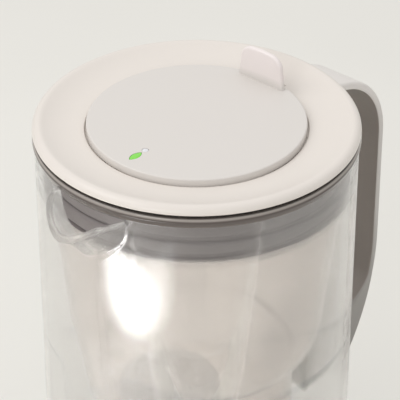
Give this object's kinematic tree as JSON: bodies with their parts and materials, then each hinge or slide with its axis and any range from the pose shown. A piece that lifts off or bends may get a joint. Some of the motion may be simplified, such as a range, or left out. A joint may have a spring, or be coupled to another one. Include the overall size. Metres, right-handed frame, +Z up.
{
  "type": "water filter pitcher",
  "caption": "Glass water filter pitcher with a beak spout, loop handle, lift-out frosted funnel and cartridge, and a dished lid whose round flap has a thumb tab and a filter-life light.",
  "frame": {"origin": "centre of the glass base, on the surface that the pitcher stands on", "axes": "+Z up along the jug's axis, +X to the handle, -X to the spout, +Y to the left of someone facing the spout's way"},
  "size_m": [0.2047, 0.1412, 0.2759],
  "materials": {
    "glass": "clear, polished",
    "lid_plastic": "satin",
    "flap_plastic": "satin",
    "handle_plastic": "satin",
    "bond_pad": "matt",
    "frosted_plastic": "frosted, translucent",
    "seal_silicone": "satin",
    "cartridge_plastic": "satin",
    "cartridge_cup": "satin",
    "mesh": "fine mesh",
    "granules": "granular",
    "steel": "brushed",
    "green_lens": "clear, tinted",
    "clear_window": "clear",
    "led": "clear",
    "board": "lacquered",
    "black_plastic": "matt",
    "brass": "plated",
    "button_rubber": "matt"
  },
  "bodies": {
    "jug": {"glass_jug": "glass", "handle_grip": "handle_plastic", "handle_top_pad": "bond_pad", "handle_foot_pad": "bond_pad"},
    "funnel": {"funnel": "frosted_plastic", "funnel_seal": "seal_silicone"},
    "cartridge": {"cartridge_cup": "cartridge_cup", "cartridge_cap": "cartridge_plastic", "cartridge_top_mesh": "mesh", "cartridge_bottom_mesh": "mesh", "cartridge_seal": "seal_silicone", "filter_granules": "granules"},
    "lid": {"lid_ring": "lid_plastic", "lid_seal": "seal_silicone", "hinge_pin": "steel"},
    "flap": {"flap": "flap_plastic", "indicator_lens": "green_lens", "indicator_window": "clear_window", "indicator_led": "led", "circuit_board": "board", "tact_switch": "black_plastic", "coin_cell": "steel", "battery_clip": "brass", "battery_spring": "brass", "pod_cover": "flap_plastic", "pod_seal": "button_rubber", "pod_screws": "steel"},
    "button": {"reset_button": "button_rubber"}
  },
  "joints": [
    {"name": "funnel_lift", "type": "slide", "parent": "jug", "child": "funnel", "axis": [0, 0, 1], "range_m": [0, 0.22]},
    {"name": "lid_lift", "type": "slide", "parent": "funnel", "child": "lid", "axis": [0, 0, 1], "range_m": [0, 0.06]},
    {"name": "flap_hinge", "type": "hinge", "parent": "lid", "child": "flap", "pos_m": [0.0488, 0, 0.2554], "axis": [0, 1, 0], "range_deg": [0, 75]},
    {"name": "cartridge_lift", "type": "slide", "parent": "funnel", "child": "cartridge", "axis": [0, 0, 1], "range_m": [0, 0.09]},
    {"name": "reset_press", "type": "slide", "parent": "flap", "child": "button", "axis": [0, 0, 1], "range_m": [0, 0.0006], "stiffness_N_per_m": 400, "springref_m": -0.0006}
  ]
}
